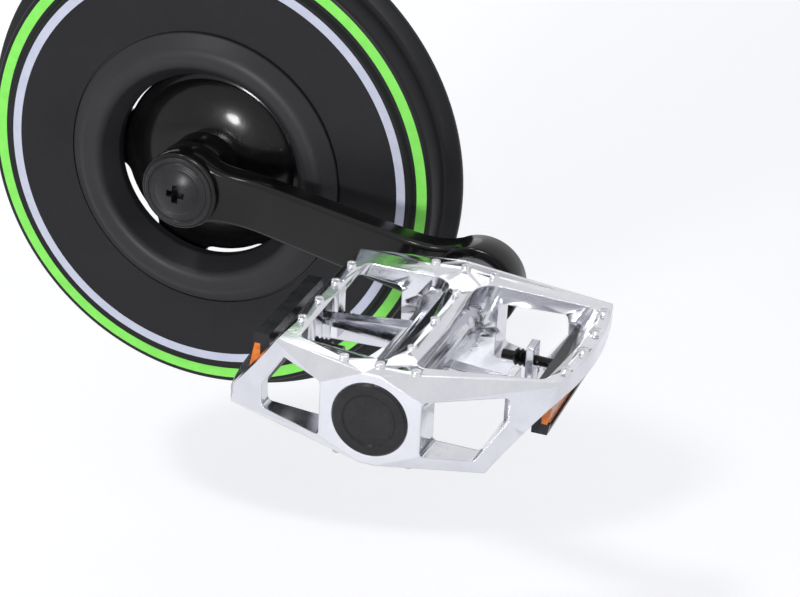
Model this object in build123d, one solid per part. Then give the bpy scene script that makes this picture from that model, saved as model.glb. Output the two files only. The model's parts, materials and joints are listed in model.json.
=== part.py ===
from build123d import *
from math import cos, pi, radians, sin, sqrt
import os

# Pedal crankset of a small trailer bike, with its bottom bracket, chain guard disc and two pedals.
# Row frame in mm: +X forward, +Y towards the left (non-drive) side, +Z up, all about the crank axis.
# The origin is on the crank axis, at the middle of the drive-side cup's thread.

# Overshoot of cuts, and overlap of fused pieces
spare = 1.0

# Bottom bracket
shell_width = 68.0
cup_thread_radius = 17.4
cup_thread_length = 14.0
cup_flange_radius = 20.5
cup_flange_thickness = 3.5
left_lip_radius = 19.0
cup_notch_count = 8
cup_notch_width = 4.0
cup_notch_depth = 1.8
cup_notch_length = 2.6
cartridge_radius = 15.2
bearing_outer_radius = 13.0
bearing_width = 7.0
journal_radius = 8.5
running_clearance = 0.06

# Spindle and its bolts
taper_end_size = 12.7
taper_half_angle = 2.0
taper_corner = 1.5
spindle_recess_drive = 13.0
spindle_recess_left = 11.0
bolt_radius = 4.0
bolt_length = 22.0
bolt_hole_spare = 1.0
bolt_flange_radius = 9.0
bolt_flange_thickness = 2.0
bolt_head_across_flats = 14.0
bolt_head_height = 5.0
extractor_radius = 11.0

# Crank arms, along the arm from the hub to the pedal eye
crank_length = 114.3
crank_drop_angle = 6.0
hub_radius = 13.4
hub_stand = 5.0
hub_rim_chamfer = 0.8
eye_radius = 15.5
arm_half_width = 9.0
neck_half_width = 7.9
arm_thickness = 11.0
eye_thickness = 12.0
arm_kick = 17.0
hub_flat_length = 22.0
eye_flat_length = 9.0
hub_blend_radius = 11.0
eye_blend_radius = 26.0
arm_bend_radius = 45.0
arm_edge_round = 2.2
drive_hub_face = -53.0
left_hub_face = 105.0
moving_gap = 5.5

# Dust caps
cap_flange_radius = 12.2
cap_flange_thickness = 0.8
cap_flange_round = 0.4
cap_dome_radius = 10.2
cap_dome_height = 3.2
cap_plug_length = 3.0
cap_slot_length = 5.6
cap_slot_width = 1.7
cap_slot_depth = 1.8

# Chainring with its five-armed stamped spider
tooth_count = 36
chain_pitch = 12.7
roller_radius = 4.0
tooth_tip_rise = 4.2
tooth_tip_width = 1.8
tooth_middle_width = 5.2
tooth_root_width = 10.6
tooth_foot_depth = 1.5
chainring_thickness = 3.0
chainring_plane = -15.0
chainring_rim_radius = 63.5
spider_arm_count = 5
spider_arm_width = 20.0
spider_dome_radius = 31.0
spider_dome_height = 6.5
spider_dome_fullness = 0.3
spider_dish_height = 6.5
spider_flat_radius = 51.0
spider_gap_radius = 34.5
spider_gap_fillet = 4.5

# Chain guard disc
disc_face = -31.0
guard_wall = 2.5
guard_radius = 92.5
guard_rear = -19.0
guard_shoulder_round = 5.0
band_edge_slope = 1.0
band_edge_margin = 1.2
band_step = 1.8
groove_radius = 51.7
groove_width = 0.8
hole_radius = 34.5
bezel_crest_radius = 43.5
bezel_height = 5.2
bezel_wall = 2.4
bezel_depth = 6.0
bezel_foot_round = 1.0
bezel_outer_shoulder = 2.0
bezel_outer_round = 5.0
bezel_inner_shoulder = 4.0
bezel_inner_round = 4.0
bezel_throat_drop = 8.0
bezel_throat_round = 2.0
grey_stripe_inner = 72.5
grey_stripe_outer = 75.7
green_stripe_inner = 79.3
green_stripe_outer = 83.0
stripe_inlay = 0.5
post_circle_radius = 57.0
post_radius = 4.5
guard_screw_radius = 2.0
guard_screw_length = 9.0
guard_screw_head_radius = 4.0
guard_screw_head_height = 2.2

# Pedals, in each pedal's own frame: x fore and aft of its axle, -y outboard from the crank eye's face
pedal_tilt = 2.9
pedal_half_height = 15.2
lip_height = 6.0
long_reach = 52.5
long_bulge = 3.2
lower_window_bulge = 0.4
short_reach = 34.0
inner_apex = 10.3
inner_corner = 20.2
outer_face = 97.0
outer_corner = 78.8
boss_half_width = 15.8
boss_shoulder = 9.2
boss_top_offset = 2.6
corner_cut_margin = 0.6
spine_near_edge = 9.7
spine_far_edge = 1.5
long_bar_width = 4.5
short_bar_width = 5.5
inner_bar_width = 11.0
inner_bar_taper = 5.0
inner_bar_width_below = 15.0
outer_bar_width = 10.0
outer_bar_taper = 6.8
outer_bar_taper_below = 2.6
window_corner = 3.0
window_flare_corner = 7.0
tube_radius = 10.0
tube_flare_radius = 13.6
tube_flare_length = 22.0
side_window_half_height = 9.2
side_window_start = 24.5
side_window_end = 77.5
side_window_margin = 1.5
side_window_corner = 2.0
end_window_rim = 4.5
end_window_knee = 3.2
end_window_corner = 1.6
end_window_side_margin = 0.4
rib_thickness = 5.0
rib_tip_low = 3.8
rib_tip_high = 6.0
rib_root_low = 1.0
rib_root_high = 9.4
rib_tip_reach = 34.0
pin_margin = 2.2
pin_inner_margin = 5.4
pin_outer_margin = 6.0
pin_side_count = 4
pin_side_step = 14.0
pin_short_start = 30.5
pin_long_start = 28.3
pin_row_count = 3
pin_spine_start = 35.5
pin_spine_step = 20.7
pin_inner_start = -7.8
pin_inner_step = 10.0
pin_outer_start = -11.0
pin_outer_step = 11.5
pin_radius = 1.55
pin_height = 1.3
pin_sides = 8
end_cap_radius = 12.0
end_cap_depth = 6.0
end_cap_seat = 1.5
end_cap_wall = 1.5
end_cap_proud = 1.0
end_cap_ring_width = 3.4
end_cap_dish = 0.6

# Pedal axle
axle_thread_radius = 7.1
axle_collar_radius = 9.0
axle_collar_length = 8.0
axle_flat_width = 15.0
axle_flat_round = 3.0
axle_inner_radius = 6.5
axle_outer_radius = 5.0
axle_step_place = 50.0
axle_end_gap = 2.0
washer_radius = 12.0
washer_thickness = 1.0
bushing_radius = 7.6
bushing_length = 12.0
bushing_inset = 0.5

# Reflectors and their bolts
reflector_length = 45.0
reflector_centre = 49.0
housing_back = 43.0
housing_depth_top = 8.0
housing_depth_bottom = 5.0
housing_bottom = -7.0
housing_gap = 0.3
housing_wall = 1.6
housing_back_wall = 3.0
lens_inset = 0.8
housing_end_height = 3.6
reflector_bolt_offset = 10.0
reflector_bolt_radius = 1.6
reflector_bolt_tail = 23.0
reflector_nut_radius = 2.9
reflector_nut_ridges = 3
reflector_nut_ridge_depth = 0.7
reflector_nut_length = 4.5
lug_width = 6.5
lug_thickness = 2.5
lug_top = 5.5
lug_hole_clearance = 0.15

# Worked out from the sizes above
shell_drive_face = -cup_thread_length / 2
shell_left_face = shell_drive_face + shell_width
drive_hub_back = shell_drive_face - cup_flange_thickness - moving_gap
left_hub_back = shell_left_face + cup_flange_thickness + moving_gap
spindle_drive_end = drive_hub_face + spindle_recess_drive
spindle_left_end = left_hub_face - spindle_recess_left
chainring_front = chainring_plane - chainring_thickness / 2
chainring_back = chainring_plane + chainring_thickness / 2
pitch_radius = chain_pitch / (2 * sin(pi / tooth_count))
lug_face = short_reach - lug_thickness
outer_bushing_start = end_cap_depth + axle_end_gap - outer_face
housing_top = pedal_half_height - lip_height - housing_gap


def polygon(points):
    """A flat face from its corner points."""
    return make_face(Polyline(*points, close=True))


def rounded(corners):
    """A flat face from (x, y, corner radius) rows."""
    places = [(x, y) for x, y, radius in corners]
    return make_face(FilletPolyline(*places, radius=[radius for x, y, radius in corners], close=True))


def turned(points):
    """A body of revolution about the crank axis, from (radius, y) points."""
    return revolve(polygon(points), Axis.Y)


def along_y(sketch, low, high):
    """A sketch of (x, z) points, run along the axle direction from y = low to y = high."""
    return extrude(Plane.XZ.offset(-high) * sketch, high - low)


def along_x(sketch, low, high):
    """A sketch of (y, z) points, run fore and aft from x = low to x = high."""
    return extrude(Plane.YZ.offset(low) * sketch, high - low)


def upright(sketch, low, high):
    """A plan sketch of (x, y) points, run up from z = low to z = high."""
    return extrude(Plane.XY.offset(low) * sketch, high - low)


def rod(radius, low, high):
    """A round bar on the crank axis between two y values."""
    return along_y(Circle(radius), low, high)


def tube(outer, inner, low, high):
    """A round tube on the crank axis between two y values."""
    return rod(outer, low, high) - rod(inner, low, high)


def square_taper(end, inner):
    """A square taper that widens from the spindle's end towards the frame."""
    length = abs(inner - end)
    wide = taper_end_size + 2 * length * sin(radians(taper_half_angle))
    sections = Sketch()
    for place, size in ((end, taper_end_size), (inner, wide)):
        sections += Plane.XZ.offset(-place) * RectangleRounded(size, size, taper_corner)
    return loft(sections)


def notched(cup, radius, face):
    """A cup with the tool's notches cut round its rim, at its outer face."""
    for index in range(cup_notch_count):
        turn = Rot(0, 360.0 * index / cup_notch_count, 0)
        notch = Box(2 * cup_notch_depth, 2 * cup_notch_length, cup_notch_width)
        cup -= turn * Pos(radius, face, 0) * notch
    return cup


def bottom_bracket():
    """Cups, cartridge tube and sealed bearings that the bike's frame shell holds."""
    drive_face = shell_drive_face - cup_flange_thickness
    left_face = shell_left_face + cup_flange_thickness
    thread_end = shell_drive_face + cup_thread_length
    drive_cup = tube(cup_thread_radius, cartridge_radius, shell_drive_face, thread_end)
    drive_cup += tube(cup_flange_radius, bearing_outer_radius, drive_face, shell_drive_face)
    thread_start = shell_left_face - cup_thread_length
    left_cup = tube(cup_thread_radius, cartridge_radius, thread_start, shell_left_face)
    left_cup += tube(left_lip_radius, bearing_outer_radius, shell_left_face, left_face)
    bore = journal_radius + running_clearance
    return {
        "drive_side_cup": notched(drive_cup, cup_flange_radius, drive_face),
        "left_side_cup": notched(left_cup, left_lip_radius, left_face),
        "cartridge_tube": tube(cartridge_radius, bearing_outer_radius, shell_drive_face, shell_left_face),
        "drive_bearing": tube(bearing_outer_radius, bore, drive_face, drive_face + bearing_width),
        "left_bearing": tube(bearing_outer_radius, bore, left_face - bearing_width, left_face),
    }


def spindle():
    """Round journal with a square taper and a bolt hole at each end."""
    body = rod(journal_radius, drive_hub_back, left_hub_back)
    body += square_taper(spindle_drive_end, drive_hub_back)
    body += square_taper(spindle_left_end, left_hub_back)
    body -= rod(bolt_radius, spindle_drive_end, spindle_drive_end + bolt_length)
    body -= rod(bolt_radius, spindle_left_end - bolt_length, spindle_left_end)
    return body


def arm_outline():
    """Front view of one crank arm, hub at the origin and eye on +X, blended into both ends."""
    bar = polygon([
        (0, -neck_half_width), (crank_length, -arm_half_width),
        (crank_length, arm_half_width), (0, neck_half_width),
    ])
    outline = bar + Circle(hub_radius) + Pos(crank_length, 0) * Circle(eye_radius)
    middle = crank_length / 2
    outline = fillet([v for v in outline.vertices() if 0 < v.X < hub_radius], hub_blend_radius)
    return fillet([v for v in outline.vertices() if middle < v.X < crank_length], eye_blend_radius)


def arm_side():
    """Side view of one crank arm's blade as (x, y): flat at the hub, kicked outboard to the flat eye."""
    hub_end = -hub_radius - spare
    hub_inboard = hub_stand + arm_thickness
    eye_end = crank_length + eye_radius + spare
    eye_start = crank_length - eye_radius - eye_flat_length
    eye_face = -arm_kick
    eye_back = eye_face + eye_thickness
    return rounded([
        (hub_end, hub_stand, 0), (hub_flat_length, hub_stand, arm_bend_radius),
        (eye_start, eye_face, arm_bend_radius), (eye_end, eye_face, 0), (eye_end, eye_back, 0),
        (eye_start, eye_back, arm_bend_radius),
        (hub_flat_length, hub_inboard, arm_bend_radius), (hub_end, hub_inboard, 0),
    ])


def crank_arm(hub_back_depth):
    """One forged arm along +X, its outer hub face at y = 0 and the frame on the +Y side."""
    blade = along_y(arm_outline(), -arm_kick - spare, hub_stand + arm_thickness + spare)
    blade &= upright(arm_side(), -eye_radius - spare, eye_radius + spare)
    rims = blade.edges().filter_by(lambda edge: not lies_along_y(edge))
    blade = fillet(rims, arm_edge_round)
    boss = chamfer(rod(hub_radius, 0, hub_back_depth).edges().sort_by(Axis.Y)[0], hub_rim_chamfer)
    return blade + boss


def lies_along_y(edge):
    """True for a straight edge that runs along the axle direction."""
    return edge.geom_type == GeomType.LINE and abs(edge.tangent_at(0.5).Y) > 0.99


def finished_arm(hub_face, hub_back, end):
    """A crank arm with its taper socket, bolt recess and pedal thread, on its own side."""
    side = 1 if hub_face > 0 else -1
    arm = crank_arm(abs(hub_face - hub_back))
    arm -= Pos(crank_length, 0, 0) * rod(axle_thread_radius, -arm_kick - spare, eye_thickness)
    if side > 0:
        arm = Rot(0, 0, 180) * arm
    arm = Pos(0, hub_face, 0) * arm
    recess_low, recess_high = sorted((hub_face, end))
    arm -= rod(extractor_radius, recess_low, recess_high)
    arm -= square_taper(end, hub_back)
    return Rot(0, crank_drop_angle, 0) * arm


def crank_bolt(end, outward):
    """Flanged hexagon bolt in the spindle's end; outward is -1 on the drive side."""
    bolt = rod(bolt_radius, 0, bolt_length - bolt_hole_spare)
    bolt += rod(bolt_flange_radius, -bolt_flange_thickness, 0)
    hexagon = RegularPolygon(bolt_head_across_flats / 2, 6, major_radius=False)
    bolt += along_y(hexagon, -bolt_flange_thickness - bolt_head_height, -bolt_flange_thickness)
    if outward > 0:
        bolt = Rot(0, 0, 180) * bolt
    return Pos(0, end, 0) * bolt


def dust_cap(hub_face, outward):
    """Domed plastic cap in the bolt recess, with a cross slot."""
    rim = cap_flange_radius - cap_flange_round
    crown = cap_dome_radius / 2
    outline = Polyline(
        (0, -cap_dome_height), (0, cap_plug_length),
        (extractor_radius, cap_plug_length), (extractor_radius, 0),
        (cap_flange_radius, 0), (cap_flange_radius, -cap_flange_round), (rim, -cap_flange_thickness),
        (cap_dome_radius, -cap_flange_thickness),
    )
    sagitta = (cap_dome_height - cap_flange_thickness) * (1 - (crown / cap_dome_radius) ** 2)
    middle = (crown, -cap_flange_thickness - sagitta)
    dome = ThreePointArc((cap_dome_radius, -cap_flange_thickness), middle, (0, -cap_dome_height))
    cap = revolve(make_face(outline + dome), Axis.Y)
    slot = Rectangle(cap_slot_length, cap_slot_width) + Rectangle(cap_slot_width, cap_slot_length)
    cap -= along_y(slot, -cap_dome_height - spare, cap_slot_depth - cap_dome_height)
    if outward > 0:
        cap = Rot(0, 0, 180) * cap
    return Rot(0, crank_drop_angle, 0) * Pos(0, hub_face, 0) * cap


def sprocket_outline():
    """Front view of the toothed disc, its teeth by (radius, width) stations."""
    root_radius = pitch_radius - roller_radius
    stations = [
        (root_radius - tooth_foot_depth, tooth_root_width), (pitch_radius, tooth_middle_width),
        (pitch_radius + tooth_tip_rise, tooth_tip_width),
    ]
    rising = [(radius, -width / 2) for radius, width in stations]
    tooth = polygon(rising + [(radius, -low) for radius, low in reversed(rising)])
    step = 360.0 / tooth_count
    return Circle(root_radius) + [Rot(0, 0, step * index) * tooth for index in range(tooth_count)]


def spider_window():
    """One gap between two spider arms, with parallel arms either side of it, centred on +X."""
    half_gap = radians(180.0 / spider_arm_count)
    apex = spider_arm_width / 2 / sin(half_gap)
    far_x = apex + 2 * chainring_rim_radius * cos(half_gap)
    far_y = 2 * chainring_rim_radius * sin(half_gap)
    wedge = polygon([(apex, 0), (far_x, -far_y), (far_x, far_y)])
    window = wedge & (Circle(chainring_rim_radius) - Circle(spider_gap_radius))
    return fillet(window.vertices(), spider_gap_fillet)


def spider_section():
    """Half section of the dished and domed sheet as (radius, y), from the hub to the teeth."""
    dish_front = chainring_front - spider_dish_height
    dome_front = dish_front - spider_dome_height
    middle = (hub_radius + spider_dome_radius) / 2
    bulge = dome_front + spider_dome_height * spider_dome_fullness
    outer = pitch_radius + tooth_tip_rise + spare
    back = chainring_thickness
    edges = Curve() + ThreePointArc(
        (hub_radius, dome_front), (middle, bulge), (spider_dome_radius, dish_front),
    )
    edges += Polyline(
        (spider_dome_radius, dish_front), (spider_flat_radius, chainring_front),
        (outer, chainring_front), (outer, chainring_back),
        (spider_flat_radius, chainring_back), (spider_dome_radius, dish_front + back),
    )
    edges += ThreePointArc(
        (spider_dome_radius, dish_front + back), (middle, bulge + back), (hub_radius, dome_front + back),
    )
    edges += Line((hub_radius, dome_front + back), (hub_radius, dome_front))
    return make_face(edges)


def chainring():
    """Toothed ring and five-armed spider stamped in one piece, domed up to the arm's hub."""
    outline = sprocket_outline()
    for index in range(spider_arm_count):
        outline -= Rot(0, 0, 360.0 / spider_arm_count * index - crank_drop_angle) * spider_window()
    deepest = chainring_front - spider_dish_height - spider_dome_height - spare
    ring = revolve(spider_section(), Axis.Y) & along_y(outline, deepest, chainring_back + spare)
    hole = rod(guard_screw_radius, chainring_front - spare, chainring_back + spare)
    for turn, place in post_places():
        ring -= turn * Pos(place, 0, 0) * hole
    return ring


def post_places():
    """Rotation and radius of each guard post, one on each spider arm."""
    step = 360.0 / spider_arm_count
    turns = [Rot(0, step * (index + 0.5) + crank_drop_angle, 0) for index in range(spider_arm_count)]
    return [(turn, post_circle_radius) for turn in turns]


def chain_guard():
    """Moulded dish: flat face, stepped outer band, rounded shoulder, posts on the back."""
    back = disc_face + guard_wall
    band = disc_face + band_step
    band_back = band + guard_wall
    step_start = grey_stripe_outer + band_edge_margin
    inside = guard_radius - guard_wall
    section = rounded([
        (groove_radius, disc_face, 0), (step_start, disc_face, 0), (step_start + band_edge_slope, band, 0),
        (guard_radius, band, guard_shoulder_round), (guard_radius, guard_rear, 0), (inside, guard_rear, 0),
        (inside, band_back, guard_shoulder_round - guard_wall),
        (step_start - band_edge_slope, band_back, 0), (step_start - 2 * band_edge_slope, back, 0),
        (groove_radius, back, 0),
    ])
    dish = revolve(section, Axis.Y)
    dish -= stripe(grey_stripe_inner, grey_stripe_outer, disc_face)
    dish -= stripe(green_stripe_inner, green_stripe_outer, band)
    post = rod(post_radius, back - stripe_inlay, chainring_front)
    hole = rod(guard_screw_radius, chainring_front - guard_screw_length, chainring_front)
    for turn, place in post_places():
        dish += turn * Pos(place, 0, 0) * post
        dish -= turn * Pos(place, 0, 0) * hole
    return dish


def stripe(inner, outer, face):
    """One coloured ring, flush in its shallow groove."""
    return tube(outer, inner, face, face + stripe_inlay)


def hub_bezel():
    """Rounded ring around the guard's centre hole, snapped behind the disc."""
    crest = disc_face - bezel_height
    back = disc_face + bezel_depth
    foot = groove_radius - groove_width
    wall = bezel_wall
    outer = bezel_crest_radius + bezel_outer_shoulder
    inner = bezel_crest_radius - bezel_inner_shoulder
    throat = crest + bezel_throat_drop
    return revolve(rounded([
        (groove_radius, disc_face + wall, 0), (groove_radius, disc_face + groove_width, 0),
        (foot, disc_face + groove_width, 0), (foot, disc_face - groove_width, bezel_foot_round),
        (outer, crest, bezel_outer_round), (inner, crest, bezel_inner_round),
        (hole_radius, throat, bezel_throat_round), (hole_radius, back, 0), (hole_radius + wall, back, 0),
        (hole_radius + wall, throat + wall / 2, bezel_foot_round),
        (inner + wall / 3, crest + wall, bezel_foot_round),
        (outer - wall / 6, crest + wall, bezel_foot_round),
        (foot - wall, disc_face + wall, 0),
    ]), Axis.Y)


def guard_screws():
    """Screws from the chainring's back into the guard's posts."""
    tip = chainring_front - guard_screw_length + stripe_inlay
    screw = rod(guard_screw_radius, tip, chainring_back)
    screw += rod(guard_screw_head_radius, chainring_back, chainring_back + guard_screw_head_height)
    return Part() + [turn * Pos(place, 0, 0) * screw for turn, place in post_places()]


def pedal_axle():
    """Steel axle in the pedal's own frame, threaded into the crank eye at y > 0."""
    collar_end = -washer_thickness - axle_collar_length
    axle = rod(axle_thread_radius, -washer_thickness, eye_thickness)
    flats = RectangleRounded(2 * axle_collar_radius, axle_flat_width, axle_flat_round)
    axle += along_y(Circle(axle_collar_radius) & flats, collar_end, -washer_thickness)
    axle += rod(axle_inner_radius, -axle_step_place, collar_end)
    axle += rod(axle_outer_radius, outer_bushing_start, -axle_step_place)
    return axle


def pedal_washer():
    """Silver washer between the crank eye and the axle's collar."""
    return tube(washer_radius, axle_thread_radius, -washer_thickness, 0)


def turned_over(shape):
    """The same shape turned half a turn about the axle, because both faces of the pedal are alike."""
    return Rot(0, 180, 0) * shape


def inner_wall(x):
    """Distance of the pedal's inner end wall from the crank eye, at x."""
    return inner_apex + abs(x) * (inner_corner - inner_apex) / long_reach


def outer_wall(x):
    """Distance of the pedal's outer end wall from the crank eye, at x."""
    slope = (outer_face - outer_corner) / (long_reach - boss_half_width)
    return outer_face - max(0.0, abs(x) - boss_half_width) * slope


def side_strip(reach, bulge):
    """Plan of everything on the near side of one long edge, bowed out by bulge or straight at 0."""
    far = -outer_face - spare
    if bulge == 0:
        start, finish = (reach, 0), (reach, far)
        edge = Line(start, finish)
    else:
        middle = (inner_corner + outer_corner) / 2
        half_chord = (outer_corner - inner_corner) / 2
        bow = (half_chord ** 2 + bulge ** 2) / (2 * bulge)
        centre = reach + bulge - bow
        start, finish = [
            (centre + sqrt(bow ** 2 - (place + middle) ** 2), place) for place in (0, far)
        ]
        edge = ThreePointArc(start, (reach + bulge, -middle), finish)
    back = -2 * long_reach
    return make_face(Curve() + edge + Polyline(finish, (back, far), (back, 0), start))


def bowed_half():
    """The pedal's block as its right side bounds it: an upright lip, then a face that leans in."""
    top = pedal_half_height
    lip = top - lip_height
    wide = side_strip(long_reach, long_bulge)
    narrow = side_strip(short_reach, 0)
    leaning = loft(Sketch() + Plane.XY.offset(-top) * narrow + Plane.XY.offset(lip) * wide)
    return leaning + upright(wide, lip, top)


def corner_cut(a, b, c):
    """A wedge that removes everything beyond the plane through three points, on its upper side."""
    along = Vector(*b) - Vector(*a)
    normal = along.cross(Vector(*c) - Vector(*a))
    if normal.Z < 0:
        normal = -normal
    reach = outer_face + long_reach
    plane = Plane(origin=a, x_dir=along, z_dir=normal)
    return extrude(plane * Rectangle(reach, reach), 4 * pedal_half_height)


def cavity_far(height):
    """How far out the right-hand cavity reaches at a height, under the leaning side."""
    low, high = short_reach - short_bar_width, long_reach - long_bar_width
    return low + (high - low) * (height + pedal_half_height) / (2 * pedal_half_height)


def cavity():
    """The right-hand window, from the upper face down past the other face's shorter window."""
    top = pedal_half_height
    middle = (inner_corner + outer_corner) / 2
    levels = Sketch()
    rows = [
        (top, spine_near_edge, long_bulge, inner_bar_width, outer_bar_taper),
        (-top, -spine_far_edge, lower_window_bulge, inner_bar_width_below, outer_bar_taper_below),
    ]
    for level, near, bulge, inner_bar, outer_taper in rows:
        far = cavity_far(level)
        near_inner = inner_wall(near) + inner_bar
        far_inner = inner_wall(far) + inner_bar - inner_bar_taper
        near_outer = outer_wall(near) - outer_bar_width
        far_outer = outer_wall(far) - outer_bar_width + outer_taper
        levels += Plane.XY.offset(level) * rounded([
            (near, -near_inner, window_flare_corner), (far, -far_inner, window_corner),
            (far + bulge, -middle, long_reach), (far, -far_outer, window_corner),
            (near, -near_outer, window_corner),
        ])
    return loft(levels)


def end_window():
    """Five-cornered opening in the right half of an end wall, as (x, z)."""
    near = boss_half_width + end_window_side_margin
    low = end_window_rim - pedal_half_height
    far_low = cavity_far(low) - end_window_side_margin
    far_knee = cavity_far(end_window_knee) - end_window_side_margin
    return rounded([
        (near, -boss_shoulder, end_window_corner), (far_low, low, end_window_corner),
        (far_knee, end_window_knee, end_window_corner),
        (far_knee - end_window_side_margin, -low, end_window_corner),
        (near, boss_shoulder, end_window_corner),
    ])


def cross_rib():
    """Right half of the tapered rib that runs from the axle tube out to the reflector's back."""
    side = polygon([
        (0, -rib_root_low), (rib_tip_reach, -rib_tip_low),
        (rib_tip_reach, -rib_tip_high), (0, -rib_root_high),
    ])
    return along_y(side, -reflector_centre - rib_thickness / 2, -reflector_centre + rib_thickness / 2)


def reflector_lugs():
    """Two upright lugs on the short bar, which the reflector's bolts pass through."""
    group = Part()
    base = side_window_half_height + lip_height / 2
    for place in bolt_places():
        plan = Pos(lug_face + lug_thickness / 2, place) * Rectangle(lug_thickness, lug_width)
        hole = along_x(Circle(reflector_bolt_radius + lug_hole_clearance), 0, long_reach)
        group += upright(plan, -base, lug_top) - Pos(0, place, 0) * hole
    return group


def bolt_places():
    """Places of the two reflector bolts along the pedal."""
    return [-reflector_centre + side * reflector_bolt_offset for side in (-1, 1)]


def evenly(start, step, count):
    """Values that run up from start in equal steps."""
    return [start + step * index for index in range(count)]


def pin_places():
    """Plan places of the grip pins on the upper face."""
    short_row = evenly(pin_short_start, pin_side_step, pin_side_count)
    left = [(pin_margin - short_reach, -place) for place in short_row]
    middle = (inner_corner + outer_corner) / 2
    right = []
    for place in evenly(pin_long_start, pin_side_step, pin_side_count):
        bow = long_bulge * (1 - ((middle - place) / (middle - inner_corner)) ** 2)
        right.append((long_reach - pin_margin + bow, -place))
    ridge = (spine_near_edge + spine_far_edge) / 2
    spine = [(ridge, -place) for place in evenly(pin_spine_start, pin_spine_step, pin_row_count)]
    inner_row = evenly(pin_inner_start, pin_inner_step, pin_row_count)
    inner = [(x, -inner_wall(x) - pin_inner_margin) for x in inner_row]
    outer_row = evenly(pin_outer_start, pin_outer_step, pin_row_count)
    outer = [(x, pin_outer_margin - outer_face) for x in outer_row]
    return left + right + spine + inner + outer


def pedal_body():
    """Cast platform with two like faces, windows all round, an axle tube and grip pins."""
    top = pedal_half_height
    half = bowed_half()
    body = half & turned_over(half)
    wide = long_reach + 2 * long_bulge
    body &= upright(polygon([
        (-wide, -inner_wall(wide)), (0, -inner_apex), (wide, -inner_wall(wide)),
        (wide, -outer_wall(wide)), (boss_half_width, -outer_face),
        (-boss_half_width, -outer_face), (-wide, -outer_wall(wide)),
    ]), -top, top)
    cuts = []
    for side, reach in ((-1, short_reach), (1, long_reach)):
        far = (side * reach, corner_cut_margin - outer_wall(reach), top)
        near = (side * boss_top_offset, -outer_face, top)
        cuts.append(corner_cut(far, near, (side * boss_half_width, -outer_face, boss_shoulder)))
    window = cavity()
    side_opening = RectangleRounded(
        side_window_end - side_window_start, 2 * side_window_half_height, side_window_corner,
    )
    side_opening = Pos(-(side_window_start + side_window_end) / 2, 0) * side_opening
    side_window = along_x(side_opening, lug_face - side_window_margin, wide)
    cuts += [window, side_window]
    outer_end = outer_wall(cavity_far(top)) - outer_bar_width / 2
    cuts.append(along_y(end_window(), -outer_face - spare, -outer_end + outer_bar_width / 2))
    cuts.append(along_y(end_window(), -inner_wall(long_reach) - inner_bar_width, 0))
    for cut in cuts:
        body -= cut
        body -= turned_over(cut)
    body += rod(tube_radius, spare - outer_face, -inner_apex)
    flare_end = -inner_apex - tube_flare_length
    body += turned([
        (0, -inner_apex - spare), (tube_flare_radius, -inner_apex - spare),
        (tube_flare_radius, -inner_apex - inner_bar_width / 2), (tube_radius, flare_end), (0, flare_end),
    ])
    for like in (cross_rib(), reflector_lugs()):
        body += like
        body += turned_over(like)
    pin = upright(RegularPolygon(pin_radius, pin_sides), top - spare, top + pin_height)
    for place in pin_places():
        body += Pos(*place, 0) * pin
        body += turned_over(Pos(*place, 0) * pin)
    body -= rod(bushing_radius, -outer_face - spare, 0)
    body -= rod(end_cap_radius, -outer_face - spare, end_cap_seat - outer_face)
    body -= rod(end_cap_radius - end_cap_wall, -outer_face, -outer_face + end_cap_depth)
    return body


def pedal_bushings():
    """Two plain bearings that carry the pedal on its axle."""
    inner_start = -inner_apex - bushing_inset
    inner_bore = axle_inner_radius + running_clearance
    inner = tube(bushing_radius, inner_bore, inner_start - bushing_length, inner_start)
    outer_bore = axle_outer_radius + running_clearance
    outer = tube(bushing_radius, outer_bore, outer_bushing_start, outer_bushing_start + bushing_length)
    return Part() + [inner, outer]


def pedal_end_cap():
    """Round black cap over the outer bearing, with a raised ring and a skirt in the bore."""
    face = -outer_face - end_cap_proud
    seat = -outer_face + end_cap_seat
    skirt = end_cap_radius - end_cap_wall
    skirt_end = -outer_face + end_cap_depth - spare
    ring = end_cap_radius - end_cap_ring_width
    return turned([
        (0, face + end_cap_dish), (ring - end_cap_dish, face + end_cap_dish), (ring, face),
        (end_cap_radius - end_cap_dish, face), (end_cap_radius, face + end_cap_dish),
        (end_cap_radius, seat), (skirt, seat), (skirt, skirt_end), (skirt - end_cap_wall, skirt_end),
        (skirt - end_cap_wall, seat), (0, seat),
    ])


def reflector_span(margin):
    """Low and high y of the reflector, less a margin at both ends."""
    half = reflector_length / 2 - margin
    return -reflector_centre - half, -reflector_centre + half


def reflector_side(back, proud, low, high):
    """Side view of the tray or its filling as (x, z), its front leaning with the casting's side."""
    slope = (housing_depth_top - housing_depth_bottom) / (housing_top - housing_bottom)
    front = housing_back + housing_depth_bottom + proud - slope * housing_bottom
    return polygon([(back, high), (front + slope * high, high), (front + slope * low, low), (back, low)])


def tray_filling(proud):
    """The room in the tray: full depth between its walls, and over its low end walls."""
    back = housing_back + housing_back_wall
    high = housing_top - housing_wall
    between = reflector_side(back, proud, housing_bottom + housing_wall, high)
    over_ends = reflector_side(back, proud, housing_bottom + housing_end_height, high)
    return along_y(between, *reflector_span(housing_wall)) + along_y(over_ends, *reflector_span(0))


def reflector_housing():
    """Open tray under the long lip that holds one lens facing forward."""
    tray = along_y(reflector_side(housing_back, 0, housing_bottom, housing_top), *reflector_span(0))
    return tray - tray_filling(spare)


def reflector_lens():
    """Amber lens that fills the housing's tray and shows at its ends."""
    return tray_filling(-lens_inset)


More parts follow.
